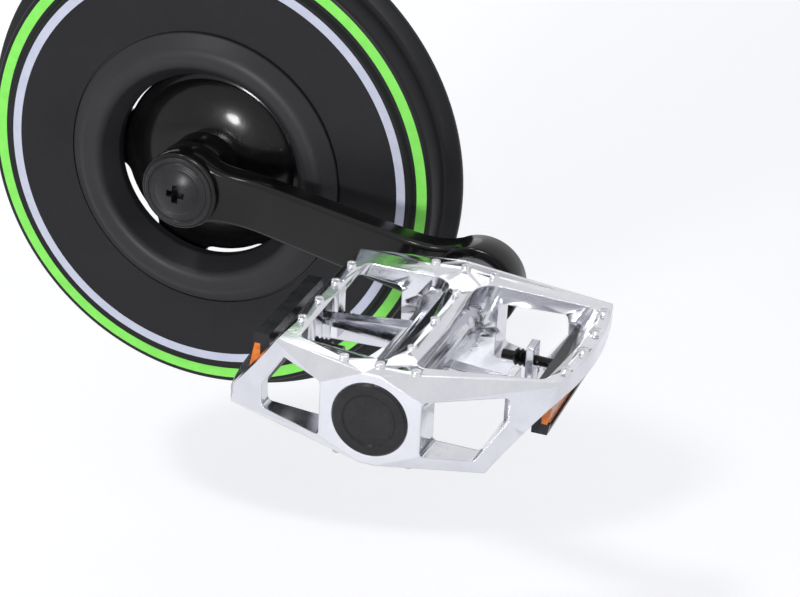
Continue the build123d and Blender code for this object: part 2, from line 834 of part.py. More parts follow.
def reflector_bolts():
    """Two bolts through the casting's lugs into one housing's back, each with a ridged nut."""
    group = Part()
    ridge = reflector_nut_length / reflector_nut_ridges
    start = lug_face - reflector_nut_length
    outline = [(start, 0)]
    for index in range(reflector_nut_ridges):
        low = start + ridge * index
        outline.append((low, reflector_nut_radius - reflector_nut_ridge_depth))
        outline.append((low + ridge / 2, reflector_nut_radius))
    outline += [(lug_face, reflector_nut_radius - reflector_nut_ridge_depth), (lug_face, 0)]
    nut = revolve(polygon(outline), Axis.X)
    for place in bolt_places():
        shank = along_x(Circle(reflector_bolt_radius), reflector_bolt_tail, housing_back)
        group += Pos(0, place, 0) * (shank + nut)
    return group


def pair_on_pedal(shape):
    """A piece and its like on the pedal's other edge, in one node."""
    return Part() + [shape, turned_over(shape)]


def on_drive_eye(shape, tilt=0.0):
    """Place a piece from the pedal's own frame on the drive-side crank eye."""
    eye = Rot(0, crank_drop_angle, 0) * Pos(crank_length, drive_hub_face - arm_kick, 0)
    return eye * Rot(0, tilt - crank_drop_angle, 0) * shape


def on_left_eye(shape, tilt=0.0):
    """Place a piece from the pedal's own frame on the left crank eye, half a turn away."""
    eye = Rot(0, crank_drop_angle, 0) * Pos(-crank_length, left_hub_face + arm_kick, 0)
    return eye * Rot(0, tilt - crank_drop_angle, 0) * Rot(0, 0, 180) * shape


def all_parts():
    """Every node of the crankset by name."""
    parts = bottom_bracket()
    parts["spindle"] = Rot(0, crank_drop_angle, 0) * spindle()
    parts["drive_crank_arm"] = finished_arm(drive_hub_face, drive_hub_back, spindle_drive_end)
    parts["left_crank_arm"] = finished_arm(left_hub_face, left_hub_back, spindle_left_end)
    parts["drive_crank_bolt"] = crank_bolt(spindle_drive_end, -1)
    parts["left_crank_bolt"] = crank_bolt(spindle_left_end, 1)
    parts["drive_dust_cap"] = dust_cap(drive_hub_face, -1)
    parts["left_dust_cap"] = dust_cap(left_hub_face, 1)
    parts["chainring"] = chainring()
    parts["chain_guard"] = chain_guard()
    parts["guard_bezel"] = hub_bezel()
    parts["grey_stripe_ring"] = stripe(grey_stripe_inner, grey_stripe_outer, disc_face)
    parts["green_stripe_ring"] = stripe(green_stripe_inner, green_stripe_outer, disc_face + band_step)
    parts["guard_screws"] = guard_screws()
    pedal_pieces = {
        "pedal_body": pedal_body(),
        "pedal_bushings": pedal_bushings(),
        "pedal_end_cap": pedal_end_cap(),
        "reflector_housings": pair_on_pedal(reflector_housing()),
        "reflector_lenses": pair_on_pedal(reflector_lens()),
        "reflector_bolts": pair_on_pedal(reflector_bolts()),
    }
    for side, put in (("drive", on_drive_eye), ("left", on_left_eye)):
        parts[side + "_pedal_axle"] = put(pedal_axle())
        parts[side + "_axle_washer"] = put(pedal_washer())
        for name, shape in pedal_pieces.items():
            parts[side + "_" + name] = put(shape, pedal_tilt)
    return parts


os.makedirs("parts", exist_ok=True)
for name, shape in all_parts().items():
    shape.label = name
    export_step(shape, os.path.join("parts", name + ".step"))
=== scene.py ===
"""Studio scene of a cycle crankset: chain guard disc, crank arms and two cast platform pedals."""
from __future__ import annotations

import json
import logging
import math
from dataclasses import dataclass, field
from enum import Enum
from typing import Callable, Iterable, Sequence

import bmesh
import bpy
from mathutils import Matrix, Vector

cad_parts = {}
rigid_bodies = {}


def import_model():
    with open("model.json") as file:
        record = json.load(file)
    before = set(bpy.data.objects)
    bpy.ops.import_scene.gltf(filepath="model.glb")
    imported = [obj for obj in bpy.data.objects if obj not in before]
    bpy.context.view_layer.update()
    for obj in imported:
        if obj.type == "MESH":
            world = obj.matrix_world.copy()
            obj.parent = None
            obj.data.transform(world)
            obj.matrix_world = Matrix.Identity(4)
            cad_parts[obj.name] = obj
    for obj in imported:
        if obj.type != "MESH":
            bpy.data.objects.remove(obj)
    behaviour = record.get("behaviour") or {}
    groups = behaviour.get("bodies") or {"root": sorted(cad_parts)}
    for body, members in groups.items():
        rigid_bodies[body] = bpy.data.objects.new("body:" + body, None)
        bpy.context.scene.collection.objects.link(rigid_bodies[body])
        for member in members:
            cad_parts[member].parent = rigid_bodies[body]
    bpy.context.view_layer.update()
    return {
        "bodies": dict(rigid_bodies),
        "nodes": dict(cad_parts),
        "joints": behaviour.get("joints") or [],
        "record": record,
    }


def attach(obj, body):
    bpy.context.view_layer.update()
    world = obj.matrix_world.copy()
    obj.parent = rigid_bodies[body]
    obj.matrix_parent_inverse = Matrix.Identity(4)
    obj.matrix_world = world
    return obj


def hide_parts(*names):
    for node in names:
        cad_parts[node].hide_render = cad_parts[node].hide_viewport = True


LOG = logging.getLogger("crankset")
MM = 0.001
ARM_DROP = 6.0
"""Degrees that the drive-side arm hangs below level at rest."""
NEAR = 0.1 * MM
"""Distance within which a corner counts as being at a place."""
PEDAL_TILT = 2.9
"""Degrees that both pedals lean at rest."""
Colour = tuple[float, float, float]
Outline = tuple[tuple[float, float], ...]


class Side(Enum):
    """The two sides of the crankset, by the prefix of their pieces' names."""

    DRIVE = "drive"
    LEFT = "left"

    @property
    def hub_face(self) -> float:
        """Place along Y of the outer face of this side's arm hub."""
        return -53.0 * MM if self is Side.DRIVE else 105.0 * MM


def activate(piece: bpy.types.Object) -> None:
    """Makes one piece the only selected and active object.

    Args:
        piece: The object that the next operators act on.
    """
    if bpy.context.object and bpy.context.object.mode != "OBJECT":
        bpy.ops.object.mode_set(mode="OBJECT")
    bpy.ops.object.select_all(action="DESELECT")
    piece.select_set(True)
    bpy.context.view_layer.objects.active = piece


def apply_all(piece: bpy.types.Object) -> None:
    """Applies every modifier of a piece, in order.

    Args:
        piece: The piece whose modifiers go into its mesh.
    """
    activate(piece)
    for modifier in list(piece.modifiers):
        bpy.ops.object.modifier_apply(modifier=modifier.name)


def link(mesh: bpy.types.Mesh, name: str) -> bpy.types.Object:
    """Makes a copy of a mesh an object of its own in the scene.

    Args:
        mesh: The mesh that is copied.
        name: The new object's name, and its mesh's.

    Returns:
        The new object.
    """
    piece = bpy.data.objects.new(name, mesh.copy())
    piece.data.name = name
    bpy.context.scene.collection.objects.link(piece)
    return piece


def settle(piece: bpy.types.Object) -> None:
    """Puts a piece's place, turn and size into its mesh, so that its object is at the origin.

    Args:
        piece: The piece to settle.
    """
    activate(piece)
    bpy.ops.object.transform_apply(location=True, rotation=True, scale=True)


class NodeBuilder:
    """Adds nodes and links to one shader or group tree, with little ceremony."""

    def __init__(self, tree: bpy.types.NodeTree) -> None:
        """Keeps the tree that the nodes go into."""
        self.tree = tree

    def fill(self, target: bpy.types.NodeSocket, value: object) -> None:
        """Links a socket to an input, or sets the input's own value.

        Args:
            target: The input.
            value: An output socket, a number, a vector or a colour.
        """
        if isinstance(value, bpy.types.NodeSocket):
            self.tree.links.new(value, target)
        elif isinstance(value, tuple) and len(value) == 3 and target.type == "RGBA":
            target.default_value = (*value, 1.0)
        else:
            target.default_value = value

    def add(self, kind: str, /, **values: object) -> bpy.types.Node:
        """Adds a node and sets its properties or unlinked inputs.

        Args:
            kind: The node's type name.
            **values: Property names, or input names with spaces as underscores; a socket is linked.

        Returns:
            The new node.
        """
        node = self.tree.nodes.new(kind)
        for name, value in values.items():
            if hasattr(node, name):
                setattr(node, name, value)
                continue
            self.put(node, name.replace("_", " "), value)
        return node

    def put(self, node: bpy.types.Node, name: str, value: object) -> None:
        """Links a socket to a node's input, or sets the input's own value.

        Args:
            node: The node whose input is set.
            name: The input's name.
            value: An output socket, a number or a colour.
        """
        self.fill(node.inputs[name], value)

    def maths(self, operation: str, *values: object) -> bpy.types.NodeSocket:
        """Adds a Math node.

        Args:
            operation: The node's operation.
            *values: What goes into its inputs, in order.

        Returns:
            The result's socket.
        """
        node = self.add("ShaderNodeMath", operation=operation)
        for target, value in zip(node.inputs, values):
            self.fill(target, value)
        return node.outputs[0]

    def mix(self, share: object, low: object, high: object) -> bpy.types.NodeSocket:
        """Mixes two colours by a share from 0 to 1.

        Args:
            share: Share of the second colour.
            low: The colour at 0.
            high: The colour at 1.

        Returns:
            The mixed colour's socket.
        """
        node = self.tree.nodes.new("ShaderNodeMix")
        node.data_type = "RGBA"
        factor, first, second, colour = node.inputs[0], node.inputs[6], node.inputs[7], node.outputs[2]
        for target, value in ((factor, share), (first, low), (second, high)):
            self.fill(target, value)
        return colour

    def spread(self, value: object, low: float, high: float, out_low: float,
               out_high: float) -> bpy.types.NodeSocket:
        """Maps a value from one range to another, clamped.

        Args:
            value: The value's socket.
            low: Start of its range.
            high: End of its range.
            out_low: What the start becomes.
            out_high: What the end becomes.

        Returns:
            The mapped value's socket.
        """
        node = self.add("ShaderNodeMapRange", Value=value, From_Min=low, From_Max=high, To_Min=out_low,
                        To_Max=out_high)
        return node.outputs["Result"]


def new_group(name: str, inputs: dict[str, float], outputs: Sequence[str]) -> tuple[bpy.types.NodeTree, NodeBuilder]:
    """Starts a shader node group that reads a position vector.

    Args:
        name: The group's name.
        inputs: Names and default values of its number inputs.
        outputs: Names of its number outputs.

    Returns:
        The group's tree and a builder for it.
    """
    tree = bpy.data.node_groups.new(name, "ShaderNodeTree")
    tree.interface.new_socket("Vector", in_out="INPUT", socket_type="NodeSocketVector")
    for socket, value in inputs.items():
        made = tree.interface.new_socket(socket, in_out="INPUT", socket_type="NodeSocketFloat")
        made.default_value = value
    for socket in outputs:
        tree.interface.new_socket(socket, in_out="OUTPUT", socket_type="NodeSocketFloat")
    return tree, NodeBuilder(tree)


class Effects:
    """The surface effects that several finishes share, each one node group built once."""

    _made: dict[str, bpy.types.NodeTree] = {}

    @classmethod
    def grain(cls) -> bpy.types.NodeTree:
        """Fine moulded or painted grain, with a slower mottling.

        Returns:
            The group, built at its first use.
        """
        if "grain" in cls._made:
            return cls._made["grain"]
        tree, nodes = new_group("surface_grain", {"Fineness": 2500.0, "Mottle": 60.0}, ("Height", "Mottle"))
        inside = nodes.add("NodeGroupInput")
        fine = nodes.add("ShaderNodeTexNoise", Vector=inside.outputs["Vector"], Scale=inside.outputs["Fineness"],
                         Detail=3.0, Roughness=0.6)
        slow = nodes.add("ShaderNodeTexNoise", Vector=inside.outputs["Vector"], Scale=inside.outputs["Mottle"],
                         Detail=4.0, Roughness=0.55)
        out = nodes.add("NodeGroupOutput")
        nodes.put(out, "Height", fine.outputs["Fac"])
        nodes.put(out, "Mottle", nodes.spread(slow.outputs["Fac"], 0.35, 0.65, 0.0, 1.0))
        cls._made["grain"] = tree
        return tree

    @classmethod
    def scuffs(cls) -> bpy.types.NodeTree:
        """Thin straight handling scratches in two directions, as a mask.

        Returns:
            The group, built at its first use.
        """
        if "scuffs" in cls._made:
            return cls._made["scuffs"]
        tree, nodes = new_group("handling_scuffs", {"Density": 90.0, "Amount": 0.5}, ("Mask",))
        inside = nodes.add("NodeGroupInput")
        masks = []
        for turn, stretch in ((0.5, (1.0, 14.0, 3.0)), (2.1, (11.0, 1.0, 4.0))):
            laid = nodes.add("ShaderNodeMapping", Vector=inside.outputs["Vector"], Rotation=(turn, turn / 2, turn),
                             Scale=stretch)
            lines = nodes.add("ShaderNodeTexNoise", Vector=laid.outputs["Vector"], Scale=inside.outputs["Density"],
                              Detail=2.0, Roughness=0.4)
            masks.append(nodes.spread(lines.outputs["Fac"], 0.62, 0.68, 0.0, 1.0))
        both = nodes.maths("MAXIMUM", *masks)
        out = nodes.add("NodeGroupOutput")
        nodes.put(out, "Mask", nodes.maths("MULTIPLY", both, inside.outputs["Amount"]))
        cls._made["scuffs"] = tree
        return tree

    @classmethod
    def turning(cls) -> bpy.types.NodeTree:
        """Lathe lines round the Y axis, from the distance to it and the place along it.

        Returns:
            The group, built at its first use.
        """
        if "turning" in cls._made:
            return cls._made["turning"]
        tree, nodes = new_group("lathe_lines", {"Lines per Metre": 3000.0}, ("Height",))
        inside = nodes.add("NodeGroupInput")
        parts = nodes.add("ShaderNodeSeparateXYZ", Vector=inside.outputs["Vector"])
        flat = nodes.add("ShaderNodeCombineXYZ", X=parts.outputs["X"], Z=parts.outputs["Z"])
        reach = nodes.add("ShaderNodeVectorMath", operation="LENGTH")
        nodes.fill(reach.inputs[0], flat.outputs["Vector"])
        place = nodes.add("ShaderNodeCombineXYZ", X=reach.outputs["Value"], Y=parts.outputs["Y"])
        lines = nodes.add("ShaderNodeTexNoise", Vector=place.outputs["Vector"], Detail=1.0,
                          Scale=inside.outputs["Lines per Metre"])
        out = nodes.add("NodeGroupOutput")
        nodes.put(out, "Height", lines.outputs["Fac"])
        cls._made["turning"] = tree
        return tree


@dataclass(frozen=True)
class Finish:
    """A surface with grain, mottled gloss and light scuffs.

    Colour and roughness run from their first value to their second with the mottling. Fineness, mottle and scuff
    density count per metre, and bump depth and edge round are in metres.
    """

    name: str
    colour: Colour
    mottle_colour: Colour
    roughness: float
    rougher: float
    metallic: float = 0.0
    fineness: float = 2500.0
    mottle: float = 60.0
    bump: float = 0.1
    bump_depth: float = 0.00005
    scuff_density: float = 90.0
    scuff_amount: float = 0.3
    scuff_colour: Colour = (0.2, 0.2, 0.2)
    coat: float = 0.0
    coat_roughness: float = 0.1
    specular: float = 0.5
    edge_round: float = 0.0
    scuff_roughness: float = 0.15

    def build(self) -> bpy.types.Material:
        """Makes the material, once for each name.

        Returns:
            The node material.
        """
        known = bpy.data.materials.get(self.name)
        if known:
            return known
        material = bpy.data.materials.new(self.name)
        material.use_nodes = True
        nodes = NodeBuilder(material.node_tree)
        shader = material.node_tree.nodes["Principled BSDF"]
        place = nodes.add("ShaderNodeTexCoord").outputs["Object"]
        grain = nodes.add("ShaderNodeGroup", node_tree=Effects.grain())
        nodes.put(grain, "Vector", place)
        nodes.put(grain, "Fineness", self.fineness)
        nodes.put(grain, "Mottle", self.mottle)
        scuffs = nodes.add("ShaderNodeGroup", node_tree=Effects.scuffs())
        nodes.put(scuffs, "Vector", place)
        nodes.put(scuffs, "Density", self.scuff_density)
        nodes.put(scuffs, "Amount", self.scuff_amount)
        toned = nodes.mix(grain.outputs["Mottle"], self.colour, self.mottle_colour)
        nodes.put(shader, "Base Color", nodes.mix(scuffs.outputs["Mask"], toned, self.scuff_colour))
        gloss = nodes.spread(grain.outputs["Mottle"], 0.0, 1.0, self.roughness, self.rougher)
        nodes.put(shader, "Roughness",
                  nodes.maths("MULTIPLY_ADD", scuffs.outputs["Mask"], self.scuff_roughness, gloss))
        bump = nodes.add("ShaderNodeBump", Strength=self.bump, Distance=self.bump_depth)
        if self.edge_round:
            rounded = nodes.add("ShaderNodeBevel", samples=6, Radius=self.edge_round)
            nodes.put(bump, "Normal", rounded.outputs["Normal"])
        nodes.put(bump, "Height", self.relief(nodes, place, grain.outputs["Height"]))
        nodes.put(shader, "Normal", bump.outputs["Normal"])
        shader.inputs["Metallic"].default_value = self.metallic
        shader.inputs["Coat Weight"].default_value = self.coat
        shader.inputs["Coat Roughness"].default_value = self.coat_roughness
        shader.inputs["Specular IOR Level"].default_value = self.specular
        return material

    def relief(self, nodes: NodeBuilder, place: bpy.types.NodeSocket,
               grain: bpy.types.NodeSocket) -> bpy.types.NodeSocket:
        """Height of the surface's relief, here the plain grain.

        Args:
            nodes: Builder of the material's tree.
            place: The Object coordinate.
            grain: The grain's height.

        Returns:
            The height's socket.
        """
        return grain


@dataclass(frozen=True)
class TurnedFinish(Finish):
    """Turned metal, with lathe lines round the crank axis in place of grain."""

    lines_per_metre: float = 3000.0

    def relief(self, nodes: NodeBuilder, place: bpy.types.NodeSocket,
               grain: bpy.types.NodeSocket) -> bpy.types.NodeSocket:
        """Lathe lines about the Y axis.

        Args:
            nodes: Builder of the material's tree.
            place: The Object coordinate.
            grain: The grain's height.

        Returns:
            The height's socket.
        """
        lines = nodes.add("ShaderNodeGroup", node_tree=Effects.turning())
        nodes.put(lines, "Vector", place)
        nodes.put(lines, "Lines per Metre", self.lines_per_metre)
        return lines.outputs["Height"]


@dataclass(frozen=True)
class CastFinish(Finish):
    """Tumbled and polished casting: slow waves, orange peel and small pits."""

    wave: float = 55.0
    wave_share: float = 14.0
    pits: float = 420.0
    pit_reach: float = 0.16
    pit_depth: float = 1.2

    def relief(self, nodes: NodeBuilder, place: bpy.types.NodeSocket,
               grain: bpy.types.NodeSocket) -> bpy.types.NodeSocket:
        """Waves of the polished skin with a few pits, on top of the grain.

        Args:
            nodes: Builder of the material's tree.
            place: The Object coordinate.
            grain: The grain's height.

        Returns:
            The height's socket.
        """
        waves = nodes.add("ShaderNodeTexNoise", Vector=place, Scale=self.wave, Detail=2.0, Roughness=0.45)
        cells = nodes.add("ShaderNodeTexVoronoi", Vector=place, Scale=self.pits)
        pits = nodes.spread(cells.outputs["Distance"], 0.0, self.pit_reach, -self.pit_depth, 0.0)
        waved = nodes.maths("MULTIPLY_ADD", waves.outputs["Fac"], self.wave_share, grain)
        return nodes.maths("ADD", waved, pits)


@dataclass(frozen=True)
class LensFinish(Finish):
    """Reflector lens, moulded full of small pyramids in a slanted grid."""

    prisms_per_metre: float = 420.0

    def relief(self, nodes: NodeBuilder, place: bpy.types.NodeSocket,
               grain: bpy.types.NodeSocket) -> bpy.types.NodeSocket:
        """Pyramids, as the nearness to the middle of each cell.

        Args:
            nodes: Builder of the material's tree.
            place: The Object coordinate.
            grain: The grain's height.

        Returns:
            The height's socket.
        """
        laid = nodes.add("ShaderNodeMapping", Vector=place, Rotation=(0.0, 0.0, math.pi / 4))
        cells = nodes.add("ShaderNodeTexVoronoi", Vector=laid.outputs["Vector"], Scale=self.prisms_per_metre,
                          Randomness=0.0, distance="CHEBYCHEV")
        return nodes.spread(cells.outputs["Distance"], 0.0, 0.5, 1.0, 0.0)


GUARD_PLASTIC = Finish("moulded_guard", (0.010, 0.010, 0.0118), (0.0135, 0.0135, 0.0156), 0.36, 0.46,
                       fineness=2200.0, mottle=25.0, bump=0.25, bump_depth=0.00006, scuff_amount=0.03,
                       scuff_colour=(0.05, 0.05, 0.055), specular=0.18)
# The bezel is the guard's own moulded plastic. Its base colour is lighter than the guard's as a painted highlight
# for the bright crest, while its rougher gloss and higher specular level are real.
BEZEL_PLASTIC_PAINTED_HIGHLIGHT = Finish("moulded_bezel_painted_highlight", (0.013, 0.013, 0.0152), (0.017, 0.017, 0.0195), 0.42, 0.5,
                       fineness=2600.0, mottle=35.0, bump=0.3, bump_depth=0.00006, scuff_amount=0.03,
                       scuff_colour=(0.05, 0.05, 0.055), specular=0.3)
CAP_PLASTIC = Finish("moulded_cap", (0.012, 0.012, 0.0135), (0.017, 0.017, 0.019), 0.2, 0.34, fineness=3000.0,
                     mottle=120.0, bump=0.3, bump_depth=0.00006, scuff_amount=0.06, scuff_colour=(0.08, 0.08, 0.085),
                     specular=0.24)
BLACK_PAINT = Finish("black_paint", (0.0035, 0.0035, 0.0037), (0.0055, 0.0055, 0.0058), 0.16, 0.24, fineness=700.0,
                     mottle=40.0, bump=0.14, bump_depth=0.0001, scuff_amount=0.03, scuff_colour=(0.06, 0.06, 0.06),
                     coat=0.2, coat_roughness=0.09, specular=0.14)
GREY_BAND = Finish("grey_stripe", (0.54, 0.56, 0.67), (0.50, 0.52, 0.63), 0.4, 0.5, fineness=3500.0, mottle=200.0,
                   scuff_amount=0.05, scuff_colour=(0.3, 0.3, 0.34), specular=0.2)
GREEN_BAND = Finish("green_stripe", (0.25, 0.80, 0.125), (0.22, 0.74, 0.11), 0.4, 0.5, fineness=3500.0, mottle=200.0,
                    scuff_amount=0.05, scuff_colour=(0.05, 0.35, 0.03), specular=0.2)
BRIGHT_STEEL = TurnedFinish("turned_bright_steel", (0.62, 0.62, 0.64), (0.55, 0.55, 0.57), 0.2, 0.3, metallic=1.0,
                            bump=0.3, bump_depth=0.00003, scuff_amount=0.1)
CUP_STEEL = TurnedFinish("turned_cup_steel", (0.42, 0.42, 0.44), (0.34, 0.34, 0.35), 0.3, 0.42, metallic=1.0,
                         bump=0.4, bump_depth=0.00004, scuff_amount=0.15)
BEARING_STEEL = TurnedFinish("ground_bearing_steel", (0.5, 0.5, 0.52), (0.42, 0.42, 0.44), 0.22, 0.3, metallic=1.0,
                             bump=0.3, bump_depth=0.00003, scuff_amount=0.05)
CASTING = CastFinish("polished_casting", (0.68, 0.685, 0.73), (0.62, 0.625, 0.67), 0.11, 0.22, metallic=1.0,
                     fineness=900.0, mottle=90.0, bump=0.3, bump_depth=0.0001, scuff_amount=0.10,
                     scuff_colour=(0.52, 0.53, 0.58), edge_round=0.0006)
AMBER = LensFinish("amber_reflector", (0.78, 0.21, 0.018), (0.66, 0.15, 0.012), 0.14, 0.24, fineness=1500.0,
                   mottle=300.0, bump=0.6, bump_depth=0.0004, coat=0.2, coat_roughness=0.05, scuff_amount=0.05,
                   scuff_colour=(0.5, 0.2, 0.05), specular=0.3)

FINISH_OF_SLOT: dict[str, Finish] = {
    "black_steel": BLACK_PAINT, "bare_steel": BRIGHT_STEEL, "cup_steel": CUP_STEEL, "guard_plastic": GUARD_PLASTIC,
    "grey_band": GREY_BAND, "green_band": GREEN_BAND, "cast_aluminium": CASTING, "cap_plastic": CAP_PLASTIC,
    "amber_lens": AMBER, "bearing_steel": BEARING_STEEL,
}
# The guard bezel's own finish is lighter than the guard's plastic: a painted highlight.
FINISH_OF_NODE: dict[str, Finish] = {"guard_bezel": BEZEL_PLASTIC_PAINTED_HIGHLIGHT}


def dress(piece: bpy.types.Object, finish: Finish) -> None:
    """Gives a piece one finish all over.

    Args:
        piece: The piece.
        finish: Its finish.
    """
    piece.data.materials.clear()
    piece.data.materials.append(finish.build())


def merged_copy(node: bpy.types.Object, name: str) -> bpy.types.Object:
    """Copies a frame node's mesh with its corners joined.

    Args:
        node: The frame's node, which is left alone.
        name: The copy's name.

    Returns:
        The copy, as a piece of its own.
    """
    piece = link(node.data, name)
    activate(piece)
    bpy.ops.object.mode_set(mode="EDIT")
    bpy.ops.mesh.select_all(action="SELECT")
    bpy.ops.mesh.remove_doubles(threshold=0.002 * MM)
    bpy.ops.object.mode_set(mode="OBJECT")
    return piece


def soften(piece: bpy.types.Object, width: float, segments: int = 2, angle: float = 50.0) -> None:
    """Rounds a piece's sharp edges and smooths what is nearly flat.

    Args:
        piece: The piece to finish.
        width: Width of the rounding, in metres.
        segments: Faces across the rounding.
        angle: Edges sharper than this many degrees are rounded.
    """
    smoothed_beyond = 8.0
    bevel = piece.modifiers.new("rounded_edges", "BEVEL")
    bevel.width = width
    bevel.segments = segments
    bevel.limit_method = "ANGLE"
    bevel.angle_limit = math.radians(angle)
    bevel.miter_outer = "MITER_ARC"
    bevel.use_clamp_overlap = True
    apply_all(piece)
    bpy.ops.object.shade_smooth_by_angle(angle=math.radians(angle + smoothed_beyond))


def choose(piece: bpy.types.Object, test: Callable[[Vector], bool]) -> None:
    """Selects, in edit mode, just the corners whose place passes a test.

    Args:
        piece: The piece being edited.
        test: Says of a corner's place whether it is wanted.
    """
    bpy.ops.mesh.select_all(action="DESELECT")
    shape = bmesh.from_edit_mesh(piece.data)
    for corner in shape.verts:
        corner.select = test(corner.co)
    shape.select_flush_mode()
    bmesh.update_edit_mesh(piece.data)


def carve(piece: bpy.types.Object, tool: bpy.types.Object) -> None:
    """Cuts one piece out of another and removes the tool.

    Args:
        piece: The piece that is cut.
        tool: The closed shape that is taken away.
    """
    cut = piece.modifiers.new("cut", "BOOLEAN")
    cut.operation = "DIFFERENCE"
    cut.solver = "EXACT"
    cut.object = tool
    apply_all(piece)
    bpy.data.objects.remove(tool, do_unlink=True)


def unite(pieces: Sequence[bpy.types.Object], name: str) -> bpy.types.Object:
    """Joins pieces into one object under a new name.

    Args:
        pieces: The pieces, whose first one stays.
        name: The joined piece's name.

    Returns:
        The joined piece.
    """
    activate(pieces[0])
    for piece in pieces[1:]:
        piece.select_set(True)
    if len(pieces) > 1:
        bpy.ops.object.join()
    joined = bpy.context.object
    joined.name = joined.data.name = name
    return joined


def set_on_hub(piece: bpy.types.Object, side: Side) -> None:
    """Moves a piece that was shaped at the origin, with its front to -Y, to its side's arm hub.

    Args:
        piece: The piece.
        side: Where it goes.
    """
    turn = Matrix.Rotation(0.0 if side is Side.DRIVE else math.pi, 4, "Z")
    drop = Matrix.Rotation(math.radians(ARM_DROP), 4, "Y")
    piece.matrix_world = drop @ Matrix.Translation((0.0, side.hub_face, 0.0)) @ turn
    settle(piece)


def round_bar(radius: float, front: float, back: float, along: float = 0.0, corners: int = 96) -> bpy.types.Object:
    """A round bar along Y, where -Y is its front.

    Args:
        radius: Its radius, in metres as all lengths here.
        front: The front face's place along Y.
        back: The back face's place along Y.
        along: Its axis' place along X.
        corners: Faces round it.

    Returns:
        The bar, at rest in its own mesh.
    """
    bpy.ops.mesh.primitive_cylinder_add(vertices=corners, radius=radius, depth=back - front,
                                        location=(along, (front + back) / 2, 0.0), rotation=(math.pi / 2, 0.0, 0.0))
    bar = bpy.context.object
    settle(bar)
    return bar


def lathe(outline: Outline, corners: int = 192) -> bpy.types.Object:
    """Turns a closed outline round the Y axis.

    Args:
        outline: Radius and place along Y of each corner, in millimetres.
        corners: Faces round the axis.

    Returns:
        The turned piece, closed and with its faces outwards.
    """
    radius, place = outline[0]
    bpy.ops.mesh.primitive_circle_add(vertices=corners, radius=radius * MM, location=(0.0, place * MM, 0.0),
                                      rotation=(math.pi / 2, 0.0, 0.0))
    turned = bpy.context.object
    settle(turned)
    bpy.ops.object.mode_set(mode="EDIT")
    bpy.ops.mesh.select_all(action="SELECT")
    for (near, front), (far, back) in zip(outline, (*outline[1:], outline[0])):
        bpy.ops.mesh.extrude_region()
        bpy.ops.transform.resize(value=(far / near, 1.0, far / near), center_override=(0.0, 0.0, 0.0))
        bpy.ops.transform.translate(value=(0.0, (back - front) * MM, 0.0))
    bpy.ops.mesh.select_all(action="SELECT")
    bpy.ops.mesh.remove_doubles(threshold=0.01 * MM)
    bpy.ops.mesh.normals_make_consistent(inside=False)
    bpy.ops.object.mode_set(mode="OBJECT")
    return turned


@dataclass
class GuardDish:
    """The chain guard: flat face with two stripe grooves, a deep wall, a thin outer flange, and posts behind.

    The outline gives radius and place along Y in millimetres.
    """

    outline: Outline = (
        (51.7, -31.0), (72.5, -31.0), (72.5, -30.5), (75.7, -30.5), (75.7, -31.0), (76.9, -31.0), (77.9, -29.2),
        (79.3, -29.2), (79.3, -28.7), (83.0, -28.7), (83.0, -29.2), (83.7, -29.2), (84.3, -29.0), (84.7, -28.6),
        (84.85, -28.0), (85.5, -19.6), (85.7, -18.6), (86.2, -17.9), (87.0, -17.6), (90.6, -16.5), (91.1, -16.1),
        (91.3, -15.6), (91.3, -14.2), (90.9, -13.8), (83.6, -13.8), (83.2, -14.2), (82.4, -26.6), (76.0, -26.7),
        (74.9, -28.5), (51.7, -28.5),
    )
    posts: int = 5
    post_circle: float = 57.0 * MM
    post_radius: float = 4.5 * MM
    post_start: float = -29.0 * MM
    post_end: float = -16.5 * MM
    screw_radius: float = 2.0 * MM
    screw_length: float = 9.0 * MM
    smooth_below: float = 38.0

    def ring_of_posts(self) -> list[bpy.types.Object]:
        """Bored posts on the dish's back, one on each arm of the spider.

        Returns:
            The posts, at their places.
        """
        first = round_bar(self.post_radius, self.post_start, self.post_end, self.post_circle, corners=32)
        carve(first, round_bar(self.screw_radius, self.post_end - self.screw_length, self.post_end + MM,
                               self.post_circle, corners=24))
        made = []
        for index in range(self.posts):
            post = link(first.data, f"guard_post_{index}")
            turn = math.radians(360.0 / self.posts * (index + 0.5) + ARM_DROP)
            post.matrix_world = Matrix.Rotation(turn, 4, "Y")
            settle(post)
            made.append(post)
        bpy.data.objects.remove(first, do_unlink=True)
        return made

    def build(self) -> bpy.types.Object:
        """Builds and dresses the dish with its posts.

        Returns:
            The dish, riding with the crankset.
        """
        dish = unite([lathe(self.outline), *self.ring_of_posts()], "guard_dish")
        activate(dish)
        bpy.ops.object.shade_smooth_by_angle(angle=math.radians(self.smooth_below))
        dress(dish, GUARD_PLASTIC)
        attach(dish, "crankset")
        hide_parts("chain_guard")
        return dish


